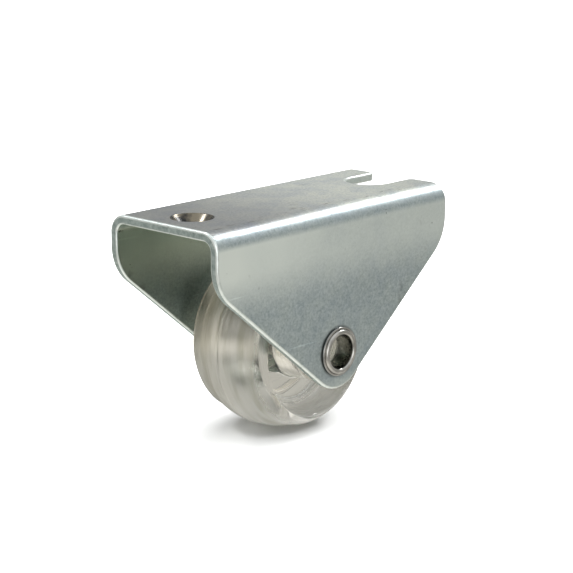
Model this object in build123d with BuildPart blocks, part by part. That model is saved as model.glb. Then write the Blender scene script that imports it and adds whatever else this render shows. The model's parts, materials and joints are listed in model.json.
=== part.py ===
from build123d import *

import math
import os

# Sliding door roller: a folded steel bracket that carries one clear plastic wheel between two
# short eyelets. The origin is the middle of the mounting face. +Z points out of that face, towards
# the door, +X points to the slotted end, and the wheel turns about a line along Y below the face.
# All sizes are in millimetres.

# Bracket, folded from one blank of zinc plated sheet
sheet = 1.5
bracket_width = 24.0
bracket_length = 55.5
inner_bend_radius = 1.6
axle_drop = 23.9  # mounting face down to the axle line
slant_angle = 39.5  # of the ears' lower edges, from the horizontal
ear_end_radius = 6.3  # round lower end of an ear, about the axle line
ear_corner_radius = 8.0

# Fixing holes in the top of the bracket
fixing_pitch = 42.5  # screw hole to the centre of the slot's round end
screw_hole_radius = 2.2
countersink_radius = 3.5
slot_width = 8.0
slot_mouth_radius = 1.3

# Eyelets, clinched into the ears, with a rolled lip outside and a short journal inside
eyelet_bore_radius = 2.75
barrel_radius = 3.25
journal_length = 1.2
flange_radius = 4.1
flange_height = 0.45
groove_radius = 3.75
groove_height = 0.3
lip_height = 0.85
lip_inner_height = 0.4

# Wheel, one clear moulding: crowned rim, recessed web and a hub that runs on the journals
tread_radius = 15.0
rim_width = 17.8
rim_offset = 1.1  # the rim stands this far off the middle, towards the left ear
crown_drop = 1.0
shoulder_radius = 4.0
recess_mouth_radius = 11.8  # each face is dished from here...
recess_floor_radius = 9.75  # ...down to the web here
web_thickness = 8.4
hub_radius = 5.8
hub_draft = 0.2
boss_radius = 4.6
boss_gap = 0.25  # hub boss to each ear
journal_clearance = 0.08

half_length = bracket_length / 2
half_width = bracket_width / 2
ear_face = half_width - sheet  # inner face of an ear
slant = math.radians(slant_angle)
slant_top = -axle_drop + (half_length * math.sin(slant) - ear_end_radius) / math.cos(slant)
ear_point = -axle_drop - ear_end_radius / math.cos(slant)
axle_plane = Plane.XY.offset(-axle_drop)
axle = Axis((0, 0, -axle_drop), (0, 1, 0))

os.makedirs("parts", exist_ok=True)

# The bracket is a channel cut to the ears' outline, then pierced.
with BuildPart() as bracket:
    with BuildSketch(Plane.YZ) as skin:
        with Locations((0, ear_point)):
            Rectangle(bracket_width, -ear_point, align=(Align.CENTER, Align.MIN))
        fillet(skin.vertices().group_by(Axis.Y)[-1], inner_bend_radius + sheet)
    extrude(amount=half_length, both=True)

    with BuildSketch(Plane.YZ) as hollow:
        with Locations((0, ear_point - sheet)):
            Rectangle(2 * ear_face, -ear_point, align=(Align.CENTER, Align.MIN))
        fillet(hollow.vertices().group_by(Axis.Y)[-1], inner_bend_radius)
    extrude(amount=half_length, both=True, mode=Mode.SUBTRACT)

    with BuildSketch(Plane.XZ) as outline:
        with BuildLine():
            Polyline(
                (-half_length, 0),
                (-half_length, slant_top),
                (0, ear_point),
                (half_length, slant_top),
                (half_length, 0),
                close=True,
            )
        make_face()
        fillet(outline.vertices().group_by(Axis.Y)[0], ear_end_radius)
        fillet(outline.vertices().group_by(Axis.Y)[-2], ear_corner_radius)
    extrude(amount=bracket_width, both=True, mode=Mode.INTERSECT)

    with BuildSketch(Plane.XZ.offset(bracket_width)) as eyelet_hole:
        with Locations((0, -axle_drop)):
            Circle(barrel_radius)
    extrude(amount=-2 * bracket_width, mode=Mode.SUBTRACT)

    with BuildSketch(Plane.XY) as slot:
        with Locations((fixing_pitch / 2, 0)):
            Circle(slot_width / 2)
            Rectangle(half_length, slot_width, align=(Align.MIN, Align.CENTER))
    extrude(amount=-2 * sheet, mode=Mode.SUBTRACT)
    mouth = bracket.edges().filter_by(Axis.Z).filter_by_position(Axis.X, half_length, half_length)
    fillet(mouth.filter_by_position(Axis.Y, -slot_width / 2, slot_width / 2), slot_mouth_radius)

    with Locations((-fixing_pitch / 2, 0, 0)):
        CounterSinkHole(screw_hole_radius, countersink_radius, depth=2 * sheet, counter_sink_angle=90)


def build_eyelet(side):
    """One eyelet, turned about the axle line; side is -1 for the right ear, 1 for the left."""

    def at(radius, height):
        # height is measured outwards from the ear's outer face
        return (radius, side * (half_width + height))

    with BuildPart() as eyelet:
        with BuildSketch(axle_plane):
            with BuildLine():
                Polyline(
                    at(eyelet_bore_radius, lip_inner_height),
                    at(eyelet_bore_radius, -sheet - journal_length),
                    at(barrel_radius, -sheet - journal_length),
                    at(barrel_radius, 0),
                    at(flange_radius, 0),
                    at(flange_radius, flange_height / 2),
                    at(flange_radius - 0.1, flange_height),
                    at(groove_radius + 0.05, flange_height),
                    at(groove_radius, groove_height),
                )
                ThreePointArc(
                    at(groove_radius, groove_height),
                    at((groove_radius + eyelet_bore_radius) / 2, lip_height),
                    at(eyelet_bore_radius, lip_inner_height),
                )
            make_face()
        revolve(axis=axle)
    return eyelet.part


eyelet_right = build_eyelet(-1)
eyelet_left = build_eyelet(1)

# The wheel's half section is drawn with the radius along X and the axle along Y.
rim_face = rim_width / 2
shoulder_start = rim_face - shoulder_radius
shoulder_axis = tread_radius - crown_drop - shoulder_radius
mouth_angle = math.degrees(math.acos((recess_mouth_radius - shoulder_axis) / shoulder_radius))
mouth_face = shoulder_start + shoulder_radius * math.sin(math.radians(mouth_angle))
web_face = web_thickness / 2
bore_radius = barrel_radius + journal_clearance
boss_end = ear_face - boss_gap

with BuildPart() as wheel:
    with BuildSketch(axle_plane) as section:
        with BuildLine():
            ThreePointArc(
                (tread_radius - crown_drop, rim_offset - shoulder_start),
                (tread_radius, rim_offset),
                (tread_radius - crown_drop, rim_offset + shoulder_start),
            )
            for side in (-1, 1):
                CenterArc(
                    (shoulder_axis, rim_offset + side * shoulder_start),
                    shoulder_radius,
                    0,
                    side * mouth_angle,
                )
                Polyline(
                    (recess_mouth_radius, rim_offset + side * mouth_face),
                    (recess_floor_radius, rim_offset + side * web_face),
                    (hub_radius + hub_draft, rim_offset + side * web_face),
                    (hub_radius, rim_offset + side * rim_face),
                    (boss_radius, rim_offset + side * rim_face),
                    (boss_radius, side * boss_end),
                    (bore_radius, side * boss_end),
                    (bore_radius, 0),
                )
        make_face()
    revolve(axis=axle)

bracket.part.label = "bracket"
export_step(bracket.part, "parts/bracket.step")

eyelet_right.label = "eyelet_right"
export_step(eyelet_right, "parts/eyelet_right.step")

eyelet_left.label = "eyelet_left"
export_step(eyelet_left, "parts/eyelet_left.step")

wheel.part.label = "wheel"
export_step(wheel.part, "parts/wheel.step")
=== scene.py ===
"""Looks of the sliding door roller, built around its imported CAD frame.

Every length below is in metres, and angles are in degrees unless a name says otherwise. The
bracket is made the way the real one is: a flat blank with its holes is drawn first, its punched
edges are rounded, and then it is folded. The eyelets and the wheel are turned from their half
sections.
"""

import json
import math

import bmesh
import bpy
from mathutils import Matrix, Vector


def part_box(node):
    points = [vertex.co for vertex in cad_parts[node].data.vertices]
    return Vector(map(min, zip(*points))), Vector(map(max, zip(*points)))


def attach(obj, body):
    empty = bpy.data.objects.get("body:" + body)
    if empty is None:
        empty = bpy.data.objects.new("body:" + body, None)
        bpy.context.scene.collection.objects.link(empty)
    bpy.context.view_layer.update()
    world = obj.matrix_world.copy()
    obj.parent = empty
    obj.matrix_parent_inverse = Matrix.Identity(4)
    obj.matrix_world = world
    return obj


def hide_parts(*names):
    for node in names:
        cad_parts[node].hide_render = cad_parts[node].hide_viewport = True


MM = 0.001
SAME_PLACE = 1e-7  # points closer than this are one point

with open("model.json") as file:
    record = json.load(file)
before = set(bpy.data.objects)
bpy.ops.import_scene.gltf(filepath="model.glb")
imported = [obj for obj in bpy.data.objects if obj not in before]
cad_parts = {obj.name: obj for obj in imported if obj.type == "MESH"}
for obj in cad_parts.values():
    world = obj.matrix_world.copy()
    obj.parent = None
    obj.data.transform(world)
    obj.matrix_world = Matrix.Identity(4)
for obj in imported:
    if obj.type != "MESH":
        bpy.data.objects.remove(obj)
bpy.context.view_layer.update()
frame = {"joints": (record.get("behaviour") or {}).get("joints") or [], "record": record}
axle = Vector(frame["joints"][0]["pos_m"])
mounts = {mount["name"]: mount for mount in frame["record"]["mounts"]}

_, bracket_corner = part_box("bracket")
half_length = bracket_corner.x
half_width = bracket_corner.y

# Bracket
sheet = 1.5 * MM
bend_radius = 3.1 * MM  # outer
bend_run = bend_radius * math.pi / 2  # a bend's length on the blank's outer face
flat_half = half_width - bend_radius  # half the width of the flat top
slant = math.radians(39.5)
ear_end_radius = 6.3 * MM
ear_corner_radius = 8.0 * MM
countersink_radius = 3.5 * MM
slot_radius = 4.0 * MM
slot_mouth_radius = 1.3 * MM
rollover = 0.40 * MM  # rounding where the punch entered, on the outer face
break_edge = 0.28 * MM  # rounding where it left, on the inner face
countersink_lip = 0.12 * MM  # rounding round the countersink and the screw hole
bend_steps = 14
hole_steps = 64
outline_step = 2 * MM  # the longest straight piece of the outline
PLATED, SHEARED, RUBBED_AND_SHEEN, CONE = 0, 1, 2, 3  # the bracket's material slots

# Eyelets
eyelet_bore = 2.75 * MM
barrel_radius = 3.25 * MM
journal_length = 1.2 * MM
flange_radius = 4.1 * MM
flange_rounding = (0.24 * MM, 0.21 * MM)  # along the radius and along the axle
lip_ring = (3.25 * MM, 0.38 * MM)  # the rolled lip's middle: radius, height above the ear
lip_size = (0.46 * MM, 0.47 * MM)
groove = ((3.76 * MM, 0.38 * MM), (3.72 * MM, 0.31 * MM))  # between flange and lip
barrel_break = 0.10 * MM

# Wheel
tread_radius = 15.0 * MM
rim_half_width = 8.9 * MM
rim_offset = 1.1 * MM
crown_drop = 1.0 * MM
shoulder_radius = 4.0 * MM
mouth_radius = 11.8 * MM  # the dished faces start here...
floor_radius = 9.75 * MM  # ...and reach the web here
web_half = 4.2 * MM
hub_radius = 5.8 * MM
boss_radius = 4.6 * MM
boss_end = half_width - sheet - 0.25 * MM
bore_radius = 3.33 * MM
hub_draft = 0.2 * MM
parting_half = 0.12 * MM  # half the width of the parting line on the tread...
parting_height = 0.03 * MM  # ...and how far it stands out


# ---------------------------------------------------------------- geometry helpers


def arc(centre, radius, start, end, steps):
    """Points of an arc in a plane, angles in degrees, both ends included."""
    points = []
    for i in range(steps + 1):
        angle = math.radians(start + (end - start) * i / steps)
        points.append((centre[0] + radius * math.cos(angle), centre[1] + radius * math.sin(angle)))
    return points


def without_repeats(points):
    """The points, leaving out any that lies on the one before it."""
    kept = []
    for point in points:
        if not kept or math.dist(point, kept[-1]) > SAME_PLACE:
            kept.append(point)
    if math.dist(kept[0], kept[-1]) < SAME_PLACE:
        kept.pop()
    return kept


def divided(start, end, longest):
    """The points of a straight run, cut so that no piece is over the longest length."""
    steps = max(1, math.ceil(math.dist(start, end) / longest))
    return [
        (start[0] + (end[0] - start[0]) * i / steps, start[1] + (end[1] - start[1]) * i / steps)
        for i in range(steps + 1)
    ]


def new_object(name, mesh_data, materials, body):
    """Puts a bmesh into the scene as a smooth piece that rides on a CAD body."""
    mesh = bpy.data.meshes.new(name)
    mesh_data.to_mesh(mesh)
    mesh_data.free()
    for material in materials:
        mesh.materials.append(material)
    piece = bpy.data.objects.new(name, mesh)
    bpy.context.scene.collection.objects.link(piece)
    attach(piece, body)
    return piece


# ---------------------------------------------------------------- bracket


def blank_outline():
    """The flat blank's outline: x along the bracket, v across it, measured on the outer face."""
    axle_v = flat_half + bend_run + (-axle.z - bend_radius)
    corner_x = half_length - ear_corner_radius
    corner_v = axle_v - (
        math.sin(slant) * corner_x + ear_corner_radius - ear_end_radius
    ) / math.cos(slant)
    slant_degrees = math.degrees(slant)
    ear = (
        divided((half_length, flat_half), (half_length, corner_v), outline_step)
        + arc((corner_x, corner_v), ear_corner_radius, 0, 90 - slant_degrees, 14)
        + arc((0, axle_v), ear_end_radius, 90 - slant_degrees, 90 + slant_degrees, 18)
        + arc((-corner_x, corner_v), ear_corner_radius, 90 + slant_degrees, 180, 14)
        + divided((-half_length, corner_v), (-half_length, flat_half), outline_step)
    )
    other_ear = [(-x, -v) for x, v in ear]
    slot_x = mounts["adjusting_slot"]["pos_m"][0]
    mouth_x = half_length - slot_mouth_radius
    mouth_v = slot_radius + slot_mouth_radius
    slot = (
        divided((half_length, -flat_half), (half_length, -mouth_v), outline_step)
        + arc((mouth_x, -mouth_v), slot_mouth_radius, 0, 90, 8)
        + arc((slot_x, 0), slot_radius, 270, 90, 28)
        + arc((mouth_x, mouth_v), slot_mouth_radius, 270, 360, 8)
        + divided((half_length, mouth_v), (half_length, flat_half), outline_step)
    )
    return without_repeats(ear + other_ear + slot), axle_v


def loop_normals(loop):
    """Unit vectors at each point of a closed loop, turned towards its right-hand side."""
    normals = []
    for i, point in enumerate(loop):
        before, after = loop[i - 1], loop[(i + 1) % len(loop)]
        along = Vector((after[0] - before[0], after[1] - before[1])).normalized()
        normals.append((along.y, -along.x))
    return normals


def punched_wall(mesh_data, loop, profile):
    """Rings of vertices down a punched edge. The profile holds (inset, depth, material) steps."""
    normals = loop_normals(loop)
    rings = []
    for inset, depth, _ in profile:
        ring = [
            mesh_data.verts.new((x - n[0] * inset, v - n[1] * inset, -depth))
            for (x, v), n in zip(loop, normals)
        ]
        rings.append(ring)
    count = len(loop)
    for upper, lower, step in zip(rings, rings[1:], profile):
        for i in range(count):
            after = (i + 1) % count
            face = mesh_data.faces.new((upper[i], lower[i], lower[after], upper[after]))
            face.material_index = step[2]
    return rings[0], rings[-1]


def rounded_edge():
    """The punched edge's section: a soft rollover outside, a rough wall, a small break inside."""
    profile = []
    for degrees in (0, 15, 30, 45, 60, 75):
        a = math.radians(degrees)
        profile.append((rollover * (1 - math.sin(a)), rollover * (1 - math.cos(a)), RUBBED_AND_SHEEN))
    profile += [
        (0.0, rollover, SHEARED),
        (0.0, (sheet + rollover) / 2, SHEARED),
        (0.0, sheet - break_edge, RUBBED_AND_SHEEN),
    ]
    for degrees in (22.5, 45, 67.5, 90):
        a = math.radians(degrees)
        inset = break_edge * (1 - math.cos(a))
        profile.append((inset, sheet - break_edge * (1 - math.sin(a)), RUBBED_AND_SHEEN))
    return profile


def countersink_section(hole_radius):
    """The screw hole's section, with insets measured from the countersink's rim outwards."""
    lip = countersink_lip
    cone = countersink_radius - hole_radius  # as deep as it is wide, for 90 degrees
    return [
        (lip, 0.0, PLATED),
        (lip * 0.3, lip * 0.3, CONE),
        (lip * -0.5, lip * 1.1, CONE),
        (cone * -0.5, cone * 0.5 + lip * 0.5, CONE),
        (lip * 0.5 - cone, cone, RUBBED_AND_SHEEN),
        (-cone, cone + lip * 0.5, SHEARED),
        (-cone, sheet - lip, RUBBED_AND_SHEEN),
        (lip - cone, sheet, PLATED),
    ]


def fold(point):
    """Takes a point of the flat blank, x, v and minus the depth, to its place on the bracket."""
    x, v, height = point
    side = math.copysign(1, v)
    past = abs(v) - flat_half
    if past <= 0:
        return (x, v, height)
    if past < bend_run:
        angle = past / bend_radius
        radius = bend_radius + height
        across = flat_half + radius * math.sin(angle)
        return (x, side * across, radius * math.cos(angle) - bend_radius)
    return (x, side * (half_width + height), -bend_radius - (past - bend_run))


def fill(mesh_data, rings):
    """Fills the flat face between an outline ring and its hole rings."""
    edges = []
    for ring in rings:
        for i, vertex in enumerate(ring):
            edges.append(mesh_data.edges.get((vertex, ring[(i + 1) % len(ring)])))
    bmesh.ops.triangle_fill(mesh_data, use_beauty=True, use_dissolve=False, edges=edges)


def build_bracket(materials):
    """The folded sheet: the outline and the holes are punched flat, and then the blank is bent."""
    mesh_data = bmesh.new()
    outline, axle_v = blank_outline()
    screw_x = mounts["screw_hole"]["pos_m"][0]
    hole_radius = mounts["screw_hole"]["dims"]["r_mm"] * MM
    screw = arc((screw_x, 0), countersink_radius, 360, 0, hole_steps)[:-1]
    walls = [punched_wall(mesh_data, outline, rounded_edge())]
    walls.append(punched_wall(mesh_data, screw, countersink_section(hole_radius)))
    for side in (-1, 1):
        hole = arc((0, side * axle_v), barrel_radius, 360, 0, hole_steps)[:-1]
        walls.append(punched_wall(mesh_data, hole, rounded_edge()))
    fill(mesh_data, [upper for upper, _ in walls])
    fill(mesh_data, [lower for _, lower in walls])

    for side in (-1, 1):
        for i in range(bend_steps + 1):
            bmesh.ops.bisect_plane(
                mesh_data,
                geom=mesh_data.verts[:] + mesh_data.edges[:] + mesh_data.faces[:],
                plane_co=(0, side * (flat_half + bend_run * i / bend_steps), 0),
                plane_no=(0, 1, 0),
                dist=SAME_PLACE,
            )
    for vertex in mesh_data.verts:
        vertex.co = fold(vertex.co)
    bmesh.ops.recalc_face_normals(mesh_data, faces=mesh_data.faces)
    for face in mesh_data.faces:
        face.smooth = True
    piece = new_object("bracket_sheet", mesh_data, materials, "frame")
    weighted = piece.modifiers.new("weighted", "WEIGHTED_NORMAL")
    weighted.keep_sharp = True
    weighted.weight = 60
    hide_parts("bracket")


# ---------------------------------------------------------------- turned pieces


def turned(name, section, segments, material, body, crease):
    """Turns a closed half section, points of (radius, y), about the axle line.

    Edges that turn by more than the crease angle stay sharp.
    """
    mesh_data = bmesh.new()
    count = len(section)
    rings = []
    for i in range(segments):
        angle = 2 * math.pi * i / segments
        out = Vector((math.cos(angle), 0, math.sin(angle)))
        ring = [mesh_data.verts.new(axle + out * r + Vector((0, y, 0))) for r, y in section]
        rings.append(ring)
    for i in range(segments):
        here, there = rings[i], rings[(i + 1) % segments]
        for k in range(count):
            after = (k + 1) % count
            mesh_data.faces.new((here[k], here[after], there[after], there[k]))
    bmesh.ops.recalc_face_normals(mesh_data, faces=mesh_data.faces)
    for face in mesh_data.faces:
        face.smooth = True
    piece = new_object(name, mesh_data, [material], body)
    piece.data.set_sharp_from_angle(angle=math.radians(crease))
    return piece


def softened(corners, steps=5):
    """Rounds the inner corners of an open run. Each corner is (radius, y, rounding)."""
    points = [corners[0][:2]]
    for previous, (r, y, rounding), following in zip(corners, corners[1:], corners[2:]):
        here = Vector((r, y))
        before = Vector(previous[:2]) - here
        after = Vector(following[:2]) - here
        turn = before.angle(after)
        reach = min(rounding / math.tan(turn / 2), before.length * 0.49, after.length * 0.49)
        start = here + before.normalized() * reach
        end = here + after.normalized() * reach
        for k in range(steps + 1):
            t = k / steps
            blend = start * (1 - t) ** 2 + here * 2 * t * (1 - t) + end * t * t
            points.append((blend.x, blend.y))
    points.append(corners[-1][:2])
    return points


def build_eyelet(name, side, material):
    """A clinched eyelet: barrel through the ear, flange and rolled lip outside."""

    def at(radius, height):
        """A point of the section, its height measured outwards from the ear."""
        return (radius, side * (half_width + height))

    def rounding(middle, size, start, step, steps):
        """An elliptical arc of the section."""
        points = []
        for i in range(steps + 1):
            a = math.radians(start + step * i)
            points.append(at(middle[0] + size[0] * math.cos(a), middle[1] + size[1] * math.sin(a)))
        return points

    end = -sheet - journal_length
    flange_middle = (flange_radius - flange_rounding[0], flange_rounding[0])
    section = [
        at(eyelet_bore, 0.20 * MM),
        at(eyelet_bore, end + barrel_break),
        at(eyelet_bore + barrel_break, end),
        at(barrel_radius - barrel_break, end),
        at(barrel_radius, end + barrel_break),
        at(barrel_radius, 0.0),
        at(flange_radius - 0.40 * MM, 0.0),
    ]
    section += rounding(flange_middle, flange_rounding, -60, 15, 10)
    section += [at(radius, height) for radius, height in groove]
    section += rounding(lip_ring, lip_size, -8, 15.5, 12)
    piece = turned(name, without_repeats(section), 96, material, "frame", 50)
    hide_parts(name.replace("_rolled", ""))


def build_wheel(material):
    """The clear wheel: crowned tread, recessed faces, hub and bosses that run on the eyelets."""
    face_radius = tread_radius - crown_drop - shoulder_radius
    shoulder_start = rim_half_width - shoulder_radius
    crown_radius = (shoulder_start ** 2 + crown_drop ** 2) / (2 * crown_drop)
    crown_angle = math.degrees(math.asin(shoulder_start / crown_radius))

    mouth_angle = math.degrees(math.acos((mouth_radius - face_radius) / shoulder_radius))
    mouth_face = shoulder_start + shoulder_radius * math.sin(math.radians(mouth_angle))
    half = [
        (tread_radius + parting_height, 0),
        (tread_radius + parting_height * 5 / 6, parting_half * 0.6),
        (tread_radius, parting_half),
    ]
    half += arc((tread_radius - crown_radius, 0), crown_radius, 0, crown_angle, 10)[1:]
    half += arc((face_radius, shoulder_start), shoulder_radius, crown_angle, mouth_angle - 5, 12)
    recess = [  # radius, y, rounding
        (*half[-1], 0),
        (mouth_radius, mouth_face, 0.30 * MM),
        (floor_radius, web_half, 0.8 * MM),
        (hub_radius + hub_draft, web_half, 0.5 * MM),
        (hub_radius, rim_half_width, 0.35 * MM),
    ]
    section = []
    for side in (1, -1):
        rim = [(r, side * y + rim_offset) for r, y in half]
        hollow = [(r, side * y + rim_offset, rounding) for r, y, rounding in recess]
        hollow += [
            (boss_radius, side * rim_half_width + rim_offset, 0.25 * MM),
            (boss_radius, side * boss_end, 0.25 * MM),
            (bore_radius, side * boss_end, 0.15 * MM),
            (bore_radius, 0.0, 0),
        ]
        points = rim + softened(hollow)
        section += points if side == 1 else points[::-1]
    section = without_repeats(section)
    piece = turned("wheel_moulding", section, 160, material, "wheel", 40)
    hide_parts("wheel")


# ---------------------------------------------------------------- materials


class Graph:
    """A short way to write a material's nodes."""

    def __init__(self, name):
        self.material = bpy.data.materials.new(name)
        self.material.use_nodes = True
        self.tree = self.material.node_tree
        self.shader = self.tree.nodes["Principled BSDF"]
        self.place = self.add("ShaderNodeTexCoord").outputs["Object"]
        separate = self.add("ShaderNodeSeparateXYZ")
        self.link(self.place, separate.inputs[0])
        self.x, self.y, self.z = separate.outputs

    def add(self, kind, **values):
        """A new node, with its settings."""
        node = self.tree.nodes.new(kind)
        for key, value in values.items():
            setattr(node, key, value)
        return node

    def link(self, source, target):
        self.tree.links.new(source, target)

    def stretched(self, scale):
        """Places scaled by a different number along each axis."""
        mapping = self.add("ShaderNodeMapping")
        mapping.inputs["Scale"].default_value = scale
        self.link(self.place, mapping.inputs["Vector"])
        return mapping.outputs["Vector"]

    def axle_radius(self):
        """Distance from the axle line."""
        offset = self.add("ShaderNodeVectorMath", operation="SUBTRACT")
        self.link(self.place, offset.inputs[0])
        offset.inputs[1].default_value = axle
        across = self.add("ShaderNodeVectorMath", operation="MULTIPLY")
        self.link(offset.outputs[0], across.inputs[0])
        across.inputs[1].default_value = (1, 0, 1)
        radius = self.add("ShaderNodeVectorMath", operation="LENGTH")
        self.link(across.outputs[0], radius.inputs[0])
        return radius.outputs["Value"]

    def sheet_depth(self):
        """How far a point of the bracket lies under its outer faces, as a negative height."""
        across = self.add("ShaderNodeMath", operation="ABSOLUTE")
        self.link(self.y, across.inputs[0])
        beside = self.add("ShaderNodeMath", operation="SUBTRACT")
        self.link(across.outputs[0], beside.inputs[0])
        beside.inputs[1].default_value = half_width
        nearest = self.add("ShaderNodeMath", operation="MAXIMUM")
        self.link(beside.outputs[0], nearest.inputs[0])
        self.link(self.z, nearest.inputs[1])
        return nearest.outputs[0]

    def noise(self, scale, detail=4.0, rough=0.55, place=None):
        """Noise from 0 to 1. Where places are stretched already, its scale is 1."""
        node = self.add("ShaderNodeTexNoise")
        node.inputs["Scale"].default_value = scale
        node.inputs["Detail"].default_value = detail
        node.inputs["Roughness"].default_value = rough
        self.link(place or self.place, node.inputs["Vector"])
        return node.outputs["Fac"]

    def ramp(self, value, stops):
        """A colour ramp. Each stop is a position with a colour or a grey."""
        node = self.add("ShaderNodeValToRGB")
        ramp = node.color_ramp
        while len(ramp.elements) < len(stops):
            ramp.elements.new(0.5)
        for element, (position, colour) in zip(ramp.elements, stops):
            element.position = position
            element.color = (*(colour if isinstance(colour, tuple) else (colour,) * 3), 1.0)
        self.link(value, node.inputs["Fac"])
        return node.outputs["Color"]

    def mix(self, share, first, second, kind="MIX"):
        """Two colours blended. Each of the three may be a fixed value or a node's output."""
        node = self.add("ShaderNodeMix", data_type="RGBA", blend_type=kind)
        sockets = (node.inputs[0], node.inputs[6], node.inputs[7])
        for socket, value in zip(sockets, (share, first, second)):
            if isinstance(value, (int, float)):
                socket.default_value = value
            elif isinstance(value, tuple):
                socket.default_value = (*value, 1.0)
            else:
                self.link(value, socket)
        return node.outputs[2]

    def times(self, first, *others):
        """The product of two or more numbers."""
        product = first
        for other in others:
            node = self.add("ShaderNodeMath", operation="MULTIPLY")
            self.link(product, node.inputs[0])
            self.link(other, node.inputs[1])
            product = node.outputs[0]
        return product

    def ease(self, value, start, end, low, high):
        """Goes smoothly from low to high while the value goes from start to end."""
        node = self.add("ShaderNodeMapRange", interpolation_type="SMOOTHSTEP")
        node.inputs["From Min"].default_value = start
        node.inputs["From Max"].default_value = end
        node.inputs["To Min"].default_value = low
        node.inputs["To Max"].default_value = high
        self.link(value, node.inputs["Value"])
        return node.outputs["Result"]

    def scaled(self, value, low, high):
        """Takes a number from 0 to 1 to one from low to high."""
        node = self.add("ShaderNodeMapRange")
        node.inputs["To Min"].default_value = low
        node.inputs["To Max"].default_value = high
        self.link(value, node.inputs["Value"])
        return node.outputs["Result"]

    def bump(self, height, distance, strength=1.0, under=None):
        """A normal tilted by a height, on top of another normal if there is one."""
        node = self.add("ShaderNodeBump")
        node.inputs["Strength"].default_value = strength
        node.inputs["Distance"].default_value = distance
        self.link(height, node.inputs["Height"])
        if under is not None:
            self.link(under, node.inputs["Normal"])
        return node.outputs["Normal"]

    def metal(self, colour, roughness, normal=None):
        """Sets the shader up as metal and gives the finished material."""
        self.link(colour, self.shader.inputs["Base Color"])
        self.shader.inputs["Metallic"].default_value = 1.0
        self.link(roughness, self.shader.inputs["Roughness"])
        if normal is not None:
            self.link(normal, self.shader.inputs["Normal"])
        return self.material


def zinc_plating():
    """Bright zinc over rolled sheet: grain, cloudy tint, painted sheen bands, painted shade,
    stains and scratches.
    """
    graph = Graph("zinc_plating")
    grain = graph.noise(2300, 4, 0.7)
    streaks = graph.noise(60, 5, 0.6, graph.stretched((6, 60, 60)))
    fine = graph.bump(grain, 0.026 * MM)
    wavy = graph.bump(graph.noise(75, 2, 0.5), 0.5 * MM, 0.5, fine)
    return graph.metal(zinc_colour(graph, grain), graph.scaled(streaks, 0.28, 0.44), wavy)


def zinc_colour(graph, grain):
    """The plating's colour, built up from the bare tint through painted sheen and shade to dirt
    and scratches.
    """
    patches = graph.ramp(
        graph.noise(70, 3, 0.5), [(0.30, (0.34, 0.45, 0.49)), (0.70, (0.47, 0.59, 0.60))]
    )
    tint = graph.ramp(
        graph.noise(260, 5, 0.65), [(0.36, (0.32, 0.44, 0.52)), (0.66, (0.49, 0.60, 0.60))]
    )
    colour = graph.mix(0.5, patches, tint)
    colour = graph.mix(0.42, colour, graph.ramp(grain, [(0.30, 0.28), (0.70, 0.88)]))

    # Painted sheen: a pale band under each bend, strongest at the closed end
    rise = graph.ease(graph.z, -15 * MM, -6 * MM, 0.0, 1.0)
    fall = graph.ease(graph.z, -3.1 * MM, -2.0 * MM, 1.0, 0.0)
    end = graph.ease(graph.x, -26 * MM, 2 * MM, 1.0, 0.60)
    cloud = graph.scaled(graph.noise(90, 2, 0.5), 0.8, 1.3)
    colour = graph.mix(graph.times(rise, fall, end, cloud), colour, (0.94, 1.0, 0.96))
    # Painted sheen: paler towards the lower tip of each ear
    tip_sheen = graph.ease(graph.z, -27.5 * MM, -30.0 * MM, 0.0, 0.4)
    colour = graph.mix(tip_sheen, colour, (0.93, 1.0, 0.95))

    # The top: a painted reflection gradient, duller and browner towards the closed end and
    # brighter towards the slotted end, with handling stains
    top = graph.ease(graph.z, -0.9 * MM, -0.35 * MM, 0.0, 1.0)
    along = graph.ease(graph.x, -24 * MM, 14 * MM, 0.0, 1.0)
    shade = graph.ramp(along, [(0.0, (0.70, 0.65, 0.65)), (1.0, (1.42, 1.34, 1.26))])
    stains = graph.ramp(
        graph.noise(130, 4, 0.65), [(0.38, (0.90, 0.89, 0.91)), (0.56, (1.02, 0.99, 0.96))]
    )
    colour = graph.mix(top, colour, graph.mix(1.0, shade, stains, "MULTIPLY"), "MULTIPLY")

    # Short dark dashes on the flat top, beside the bend
    beside_bend = graph.ease(graph.y, -8.6 * MM, -7.4 * MM, 0.8, 0.0)
    flat = graph.ease(graph.z, -0.08 * MM, -0.02 * MM, 0.0, 1.0)
    dashes = graph.ramp(
        graph.noise(1.0, 3, 0.6, graph.stretched((260, 1500, 300))), [(0.35, 1.0), (0.41, 0.0)]
    )
    colour = graph.mix(graph.times(dashes, beside_bend, flat), colour, (0.12, 0.11, 0.10))

    # Painted shade on the inner faces, and a painted contact shadow round the eyelets
    inner_shade = graph.ease(graph.sheet_depth(), -1.45 * MM, -1.05 * MM, 1.0, 0.0)
    colour = graph.mix(inner_shade, colour, (0.70, 0.74, 0.67), "MULTIPLY")
    rim = flange_radius
    # Painted contact shadow on the ear round each eyelet's flange
    eyelet_contact_shadow = graph.ease(graph.axle_radius(), rim - 0.05 * MM, rim + 0.55 * MM, 0.75, 0.0)
    colour = graph.mix(eyelet_contact_shadow, colour, (0.16, 0.18, 0.18))

    specks = graph.ramp(graph.noise(900, 2, 0.4), [(0.20, 0.45), (0.25, 1.0)])
    colour = graph.mix(1.0, colour, specks, "MULTIPLY")
    smudges = graph.noise(1.0, 4, 0.7, graph.stretched((110, 300, 90)))
    colour = graph.mix(0.8, colour, graph.ramp(smudges, [(0.30, 0.45), (0.39, 1.0)]), "MULTIPLY")
    scratches = graph.noise(1.0, 2, 0.5, graph.stretched((60, 2600, 1400)))
    scratches = graph.ramp(scratches, [(0.22, 1.25), (0.27, 1.0)])
    return graph.mix(1.0, colour, scratches, "MULTIPLY")


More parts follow.
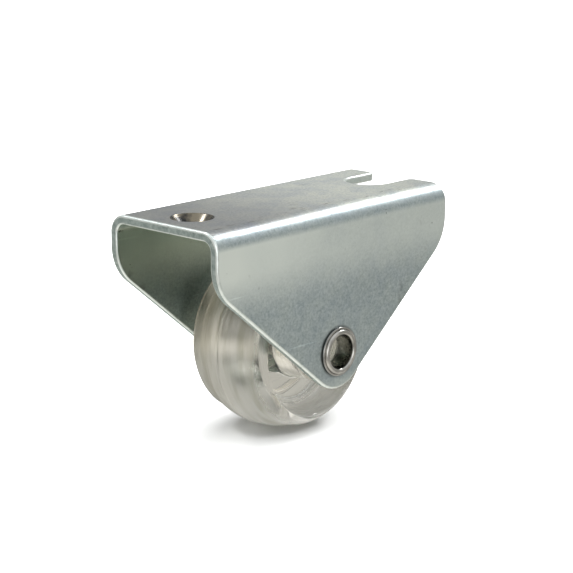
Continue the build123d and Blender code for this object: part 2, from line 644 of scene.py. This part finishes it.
def sheared_steel():
    """The torn wall of a punched edge, plated over: darker and rougher than the sheet's face."""
    graph = Graph("sheared_edge")
    torn = graph.noise(900, 5, 0.7, graph.stretched((3, 1, 1)))
    colour = graph.ramp(torn, [(0.35, (0.31, 0.38, 0.37)), (0.70, (0.62, 0.69, 0.67))])
    # Painted sheen: the torn wall paler towards the slotted end
    slotted_end_sheen = graph.ease(graph.x, 12 * MM, 20 * MM, 0.0, 0.6)
    colour = graph.mix(slotted_end_sheen, colour, (0.84, 0.89, 0.86))
    return graph.metal(colour, graph.scaled(torn, 0.42, 0.62), graph.bump(torn, 0.08 * MM))


def rubbed_and_sheen_edge():
    """Rounded edges, where handling has polished the plating, brightened further to a near-white
    painted highlight.
    """
    graph = Graph("rubbed_and_sheen_edge")
    worn = graph.noise(700, 4, 0.6)
    colour = graph.ramp(worn, [(0.32, (0.74, 0.81, 0.79)), (0.66, (0.93, 0.98, 0.96))])
    fine = graph.bump(graph.noise(1800, 3), 0.01 * MM)
    return graph.metal(colour, graph.scaled(worn, 0.22, 0.38), fine)


def countersunk_cone():
    """The pressed cone of the screw hole: painted shade darkens it almost to black, with tan stain
    patches where dirt has settled.
    """
    graph = Graph("countersunk_cone")
    stain = graph.noise(330, 4, 0.6)
    colour = graph.ramp(stain, [(0.44, (0.04, 0.04, 0.04)), (0.62, (0.25, 0.22, 0.17))])
    return graph.metal(colour, graph.scaled(graph.noise(800, 3), 0.18, 0.30))


def eyelet_steel():
    """Drawn and rolled steel, smoother than the sheet, with painted shade darkening its bore."""
    graph = Graph("eyelet_metal")
    stain = graph.noise(420, 4, 0.6)
    colour = graph.ramp(stain, [(0.35, (0.38, 0.37, 0.35)), (0.70, (0.62, 0.60, 0.57))])
    radius = graph.axle_radius()
    # Painted shade inside the bore
    bore_shade = graph.ease(radius, eyelet_bore - 0.02 * MM, eyelet_bore + 0.22 * MM, 0.75, 0.0)
    colour = graph.mix(bore_shade, colour, (0.10, 0.11, 0.09))
    rim = flange_radius
    # Painted shadow round the flange's outer edge
    flange_edge_shadow = graph.ease(radius, rim - 0.30 * MM, rim - 0.05 * MM, 0.0, 0.45)
    colour = graph.mix(flange_edge_shadow, colour, (0.14, 0.14, 0.14))
    fine = graph.bump(graph.noise(700, 2), 0.01 * MM)
    return graph.metal(colour, graph.scaled(graph.noise(900, 3), 0.16, 0.28), fine)


def clear_plastic():
    """Clear moulding, slightly warm: polished faces and a tread dulled by running."""
    graph = Graph("clear_moulding")
    shader = graph.shader
    bands = graph.noise(1.0, 3, 0.6, graph.stretched((60, 480, 60)))
    film = graph.ramp(bands, [(0.36, (0.55, 0.54, 0.44)), (0.56, (0.93, 0.91, 0.85))])
    shader.inputs["Transmission Weight"].default_value = 1.0
    shader.inputs["IOR"].default_value = 1.49
    film_start, film_end = tread_radius - 3.2 * MM, tread_radius - 0.9 * MM
    tread = graph.ease(graph.axle_radius(), film_start, film_end, 0.0, 1.0)
    graph.link(graph.mix(tread, (0.95, 0.93, 0.88), film), shader.inputs["Base Color"])
    scuffs = graph.scaled(graph.noise(420, 5, 0.7, graph.stretched((1, 3, 1))), 0.20, 0.46)
    polish = graph.add("ShaderNodeMix", data_type="FLOAT")
    graph.link(tread, polish.inputs[0])
    polish.inputs[2].default_value = 0.03
    graph.link(scuffs, polish.inputs[3])
    graph.link(polish.outputs[0], shader.inputs["Roughness"])
    rings = graph.noise(1.0, 3, 0.6, graph.stretched((20, 1500, 20)))
    turned_lines = graph.bump(rings, 0.05 * MM)
    waves = graph.bump(graph.noise(160, 2, 0.4), 0.12 * MM, 0.6, turned_lines)
    graph.link(waves, shader.inputs["Normal"])
    return graph.material


# ---------------------------------------------------------------- studio


def build_floor():
    """A plain pale floor under the wheel."""
    mesh_data = bmesh.new()
    bmesh.ops.create_grid(mesh_data, x_segments=1, y_segments=1, size=4.0)
    mesh = bpy.data.meshes.new("floor")
    mesh_data.to_mesh(mesh)
    mesh_data.free()
    floor = bpy.data.objects.new("floor", mesh)
    floor.location.z = axle.z - tread_radius
    bpy.context.scene.collection.objects.link(floor)
    graph = Graph("floor_paper")
    graph.shader.inputs["Base Color"].default_value = (0.93, 0.93, 0.93, 1.0)
    graph.shader.inputs["Roughness"].default_value = 0.9
    graph.shader.inputs["Specular IOR Level"].default_value = 0.1
    mesh.materials.append(graph.material)
    floor.visible_glossy = False
    floor.visible_transmission = False


def outward(azimuth, elevation):
    """A direction away from the roller, in degrees. Azimuth 0 is in front, along minus Y."""
    turn, rise = math.radians(azimuth), math.radians(elevation)
    return Vector((
        math.sin(turn) * math.cos(rise),
        -math.cos(turn) * math.cos(rise),
        math.sin(rise),
    ))


def area_lamp(name, location, facing, size, watts):
    """A square lamp that the camera itself does not see."""
    data = bpy.data.lights.new(name, "AREA")
    data.shape = "SQUARE"
    data.size = size
    data.energy = watts
    lamp = bpy.data.objects.new(name, data)
    lamp.location = location
    lamp.rotation_euler = facing.to_track_quat("-Z", "Y").to_euler()
    lamp.visible_camera = False
    bpy.context.scene.collection.objects.link(lamp)
    return lamp


def softbox(name, azimuth, elevation, distance, size, watts):
    """A lamp at a distance from the middle of the axle, facing it."""
    away = outward(azimuth, elevation)
    return area_lamp(name, axle + away * distance, -away, size, watts)


def build_light():
    """A light tent: pale and warm below, dimmer round the sides, bright above and behind the
    camera. Lamps add the shine on the rear bend, the near ear, and the screw hole.
    """
    world = bpy.data.worlds.new("studio")
    world.use_nodes = True
    tree = world.node_tree
    background = tree.nodes["Background"]
    place = tree.nodes.new("ShaderNodeTexCoord").outputs["Generated"]

    def lobe(direction, low, high):
        """How much of the tent faces a direction: 0 at the low cosine, 1 at the high one."""
        dot = tree.nodes.new("ShaderNodeVectorMath")
        dot.operation = "DOT_PRODUCT"
        dot.inputs[1].default_value = Vector(direction).normalized()
        tree.links.new(place, dot.inputs[0])
        span = tree.nodes.new("ShaderNodeMapRange")
        span.interpolation_type = "SMOOTHSTEP"
        span.inputs["From Min"].default_value = low
        span.inputs["From Max"].default_value = high
        tree.links.new(dot.outputs["Value"], span.inputs["Value"])
        return span.outputs["Result"]

    def painted(under, share, colour):
        """One colour laid over what is there already."""
        mix = tree.nodes.new("ShaderNodeMix")
        mix.data_type = "RGBA"
        tree.links.new(share, mix.inputs[0])
        if isinstance(under, tuple):
            mix.inputs[6].default_value = (*under, 1.0)
        else:
            tree.links.new(under, mix.inputs[6])
        mix.inputs[7].default_value = (*colour, 1.0)
        return mix.outputs[2]

    tent = painted((0.95, 0.93, 0.86), lobe((0, 0, 1), -0.85, -0.45), (0.48, 0.475, 0.44))
    tent = painted(tent, lobe((0, 0, 1), -0.30, 0.05), (0.52, 0.52, 0.49))
    tent = painted(tent, lobe((0, 0, 1), 0.25, 0.75), (0.85, 0.87, 0.87))
    tent = painted(tent, lobe((-0.66, -0.72, 0.12), 0.86, 0.98), (1.9, 1.92, 1.90))
    tree.links.new(tent, background.inputs["Color"])
    background.inputs["Strength"].default_value = 1.0
    bpy.context.scene.world = world
    softbox("right_high", 84, 43, 0.7, 0.13, 1.25)
    softbox("rear_low", 132, 9, 0.19, 0.05, 0.0030)
    beside = Vector((61.5, -93.7, -34.0)) * MM
    area_lamp("ear_sheen", beside, Vector((-0.696, 0.681, 0.233)), 0.04, 0.0006)
    softbox("hole_glint", -144.5, 53, 0.5, 0.04, 0.45)
    fill = softbox("floor_fill", 20, 80, 1.2, 1.6, 42.0)
    fill.visible_glossy = False
    fill.visible_transmission = False


def build_camera():
    """The camera stands left of the closed end, a little above the roller."""
    distance = 306.2 * MM
    aim = Vector((1.9, 1.4, -15.65)) * MM
    data = bpy.data.cameras.new("camera")
    data.lens = 114.7
    data.sensor_width = 36.0
    data.clip_start = 0.01
    camera = bpy.data.objects.new("camera", data)
    camera.location = axle + outward(-47.0, 15.64) * distance
    camera.rotation_euler = (aim - camera.location).to_track_quat("-Z", "Y").to_euler()
    bpy.context.scene.collection.objects.link(camera)
    bpy.context.scene.camera = camera


def main():
    build_camera()
    build_floor()
    build_light()
    build_bracket([zinc_plating(), sheared_steel(), rubbed_and_sheen_edge(), countersunk_cone()])
    eyelet_material = eyelet_steel()
    build_eyelet("eyelet_right_rolled", -1, eyelet_material)
    build_eyelet("eyelet_left_rolled", 1, eyelet_material)
    build_wheel(clear_plastic())
    bpy.context.scene.view_settings.view_transform = "Standard"


main()
